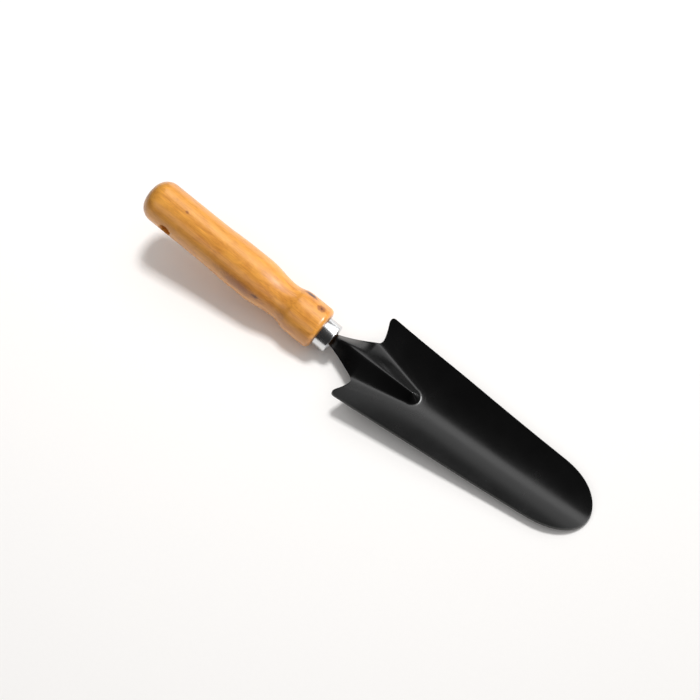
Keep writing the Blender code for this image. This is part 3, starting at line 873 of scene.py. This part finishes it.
def black_coat():
    """Satin black powder coat on pressed sheet steel."""
    blade = settings()[2]
    material, tree, shader = new_material("satin black powder coat")
    place = add_node(tree, 'ShaderNodeTexCoord')
    # orange peel about 0.9 mm across, which keeps the reflections soft
    peel = add_node(tree, 'ShaderNodeTexNoise', {
        "Vector": place.outputs["Object"], "Scale": 1100.0, "Detail": 2.0, "Roughness": 0.5})
    cloud = add_node(tree, 'ShaderNodeTexNoise', {
        "Vector": place.outputs["Object"], "Scale": 70.0, "Detail": 3.0, "Roughness": 0.6})
    rough = add_node(tree, 'ShaderNodeMapRange', {
        "Value": cloud.outputs["Fac"], "From Min": 0.3, "From Max": 0.7,
        "To Min": 0.23, "To Max": 0.28})
    tree.links.new(rough.outputs[0], shader.inputs["Roughness"])
    shade = add_node(tree, 'ShaderNodeMix', {"Factor": cloud.outputs["Fac"]}, data_type='RGBA')
    shade.inputs["A"].default_value = (*blade.coating, 1)
    shade.inputs["B"].default_value = (*[c * 1.5 for c in blade.coating], 1)
    tree.links.new(shade.outputs["Result"], shader.inputs["Base Color"])
    relief = add_node(tree, 'ShaderNodeBump', {
        "Height": peel.outputs["Fac"], "Strength": 0.10, "Distance": 0.03 * MM})
    tree.links.new(relief.outputs[0], shader.inputs["Normal"])
    return material


class TRANSPLANTER_OT_blade(bpy.types.Operator):
    """Press the blade, with its ridge, neck and tang, from one sheet."""
    bl_idname = "transplanter.blade"
    bl_label = "Make Blade"

    def execute(self, context):
        blade = settings()[2]
        base = link_mesh("blade sheet", blade_sheet())
        sheet = base.modifiers.new("thickness", 'SOLIDIFY')
        sheet.thickness = blade.sheet
        sheet.offset = -1
        sheet.use_even_offset = True
        rim = base.modifiers.new("rounded rim", 'BEVEL')
        rim.limit_method = 'ANGLE'
        rim.angle_limit = math.radians(50)
        rim.width = blade.rim_rounding
        rim.segments = 3
        graph = bpy.context.evaluated_depsgraph_get()
        mesh = bpy.data.meshes.new_from_object(base.evaluated_get(graph))
        mesh.name = "pressed_blade"
        mesh.transform(Matrix.Translation((ferrule_x(), 0, 0)))
        mesh.materials.clear()
        mesh.materials.append(black_coat())
        bpy.data.objects.remove(base)
        piece = link_mesh("pressed_blade", mesh)
        shade_round(piece, 50)
        settle(piece, "blade")
        return {'FINISHED'}


# ---- stage -------------------------------------------------------------------------------------
FLOOR_HALF_SIZE = 4.0
FLOOR_HEIGHT = -0.02 * MM           # just under the tool, so that nothing shares its plane
LOOK_AT = Vector((-0.012714, 0.004864, 0.0))
PANEL_TURN = -33                    # degrees about the vertical


def floor_material(stage):
    """Matt white card, faintly uneven."""
    material, tree, shader = new_material("matt white card")
    place = add_node(tree, 'ShaderNodeTexCoord')
    grain = add_node(tree, 'ShaderNodeTexNoise', {
        "Vector": place.outputs["Object"], "Scale": 400.0})
    shade = add_node(tree, 'ShaderNodeMix', {"Factor": grain.outputs["Fac"]}, data_type='RGBA')
    shade.inputs["A"].default_value = (*stage.floor, 1)
    shade.inputs["B"].default_value = (*[c * 0.985 for c in stage.floor], 1)
    tree.links.new(shade.outputs["Result"], shader.inputs["Base Color"])
    shader.inputs["Roughness"].default_value = 0.9
    shader.inputs["Specular IOR Level"].default_value = 0.1
    return material


def softbox(name, place, tilt, turn, size, radiance, lit):
    """A soft panel that lights one collection, level and facing down unless it is tilted."""
    light = bpy.data.lights.new(name, 'AREA')
    light.shape = 'RECTANGLE'
    light.size, light.size_y = size
    light.energy = radiance * math.pi * size[0] * size[1]
    lamp = bpy.data.objects.new(name, light)
    lamp.location = place
    lamp.rotation_euler = (math.radians(tilt), 0, math.radians(turn))
    lamp.visible_camera = False
    lamp.light_linking.receiver_collection = lit
    bpy.context.scene.collection.objects.link(lamp)


def collection_of(name, objects):
    group = bpy.data.collections.new(name)
    for item in objects:
        group.objects.link(item)
    return group


class TRANSPLANTER_OT_stage(bpy.types.Operator):
    """Lay the pale floor, hang the soft lights and set the camera."""
    bl_idname = "transplanter.stage"
    bl_label = "Make Stage"

    def execute(self, context):
        scene = context.scene
        stage = scene.transplanter_stage
        mesh = bpy.data.meshes.new("floor")
        corners = [(-1, -1), (1, -1), (1, 1), (-1, 1)]
        mesh.from_pydata([(x * FLOOR_HALF_SIZE, y * FLOOR_HALF_SIZE, FLOOR_HEIGHT)
                          for x, y in corners], [], [(0, 1, 2, 3)])
        mesh.materials.append(floor_material(stage))
        floor = link_mesh("floor", mesh)
        floor_only = collection_of("lit floor", [floor])
        tool_only = collection_of("lit tool", [bpy.data.objects[name] for name in (
            "turned_handle", "drawn_ferrule", "pressed_blade")])
        steel_only = collection_of("lit ferrule", [bpy.data.objects["drawn_ferrule"]])
        wood_only = collection_of("lit wood", [bpy.data.objects["turned_handle"]])
        softbox("long panel", (0.19, 0.56, 1.2), 0, PANEL_TURN, (1.9, 0.50), 2.3, tool_only)
        softbox("wide panel", (0.60, 1.20, 1.2), 0, PANEL_TURN, (2.4, 1.92), 1.1, tool_only)
        softbox("side panel", (0.75, 0.66, 1.0), 0, PANEL_TURN, (0.5, 0.5), 30.0, tool_only)
        softbox("far card", (-0.40, 1.5, 0.12), -90, 0, (1.0, 0.24), 1.9, tool_only)
        softbox("bright card", (0.75, 1.5, 0.85), -90, 0, (1.6, 1.0), 1.7, steel_only)
        softbox("tip panel", (1.2, 0.5, 1.1), 0, 0, (0.8, 0.8), 1.4, tool_only)
        softbox("near fill", (0.0, -0.9, 0.7), 0, 0, (1.2, 0.8), 1.0, wood_only)
        softbox("floor key", (-0.16, 0.36, 1.2), 0, 0, (0.24, 0.24), 62.0, floor_only)
        softbox("floor wash", (0.0, 0.0, 1.5), 0, 0, (4.0, 4.0), 0.75, floor_only)
        world = bpy.data.worlds.new("studio")
        world.use_nodes = True
        background = world.node_tree.nodes["Background"]
        background.inputs["Color"].default_value = (1, 1, 1, 1)
        background.inputs["Strength"].default_value = 0.03
        scene.world = world
        scene.view_settings.view_transform = 'Standard'
        camera_data = bpy.data.cameras.new("camera")
        camera_data.lens = stage.lens
        camera_data.sensor_width = 36.0
        camera_data.clip_start = 0.01
        camera = bpy.data.objects.new("camera", camera_data)
        level = math.cos(stage.elevation)
        back = Vector((math.sin(stage.azimuth) * level, -math.cos(stage.azimuth) * level,
                       math.sin(stage.elevation)))
        camera.location = LOOK_AT + back * stage.distance
        camera.rotation_euler = back.to_track_quat('Z', 'Y').to_euler()
        scene.collection.objects.link(camera)
        scene.camera = camera
        return {'FINISHED'}


class TRANSPLANTER_PT_sidebar(bpy.types.Panel):
    """The tool's sizes, colours and build buttons."""
    bl_idname = "TRANSPLANTER_PT_sidebar"
    bl_label = "Hand Transplanter"
    bl_space_type = 'VIEW_3D'
    bl_region_type = 'UI'
    bl_category = "Garden Tools"

    def draw(self, context):
        for name in ("handle", "ferrule", "blade", "stage"):
            group = getattr(context.scene, "transplanter_" + name)
            column = self.layout.column(heading=name.capitalize())
            for field in group.__annotations__:
                column.prop(group, field)
            column.operator("transplanter." + name)


CLASSES = (HandleSettings, FerruleSettings, BladeSettings, StageSettings,
           TRANSPLANTER_OT_handle, TRANSPLANTER_OT_ferrule, TRANSPLANTER_OT_blade,
           TRANSPLANTER_OT_stage, TRANSPLANTER_PT_sidebar)


def register():
    for item in CLASSES:
        bpy.utils.register_class(item)
    bpy.types.Scene.transplanter_handle = PointerProperty(type=HandleSettings)
    bpy.types.Scene.transplanter_ferrule = PointerProperty(type=FerruleSettings)
    bpy.types.Scene.transplanter_blade = PointerProperty(type=BladeSettings)
    bpy.types.Scene.transplanter_stage = PointerProperty(type=StageSettings)


def unregister():
    del bpy.types.Scene.transplanter_stage
    del bpy.types.Scene.transplanter_blade
    del bpy.types.Scene.transplanter_ferrule
    del bpy.types.Scene.transplanter_handle
    for item in reversed(CLASSES):
        bpy.utils.unregister_class(item)


def main():
    register()
    bpy.ops.transplanter.handle()
    bpy.ops.transplanter.ferrule()
    bpy.ops.transplanter.blade()
    bpy.ops.transplanter.stage()


if __name__ == "__main__":
    main()
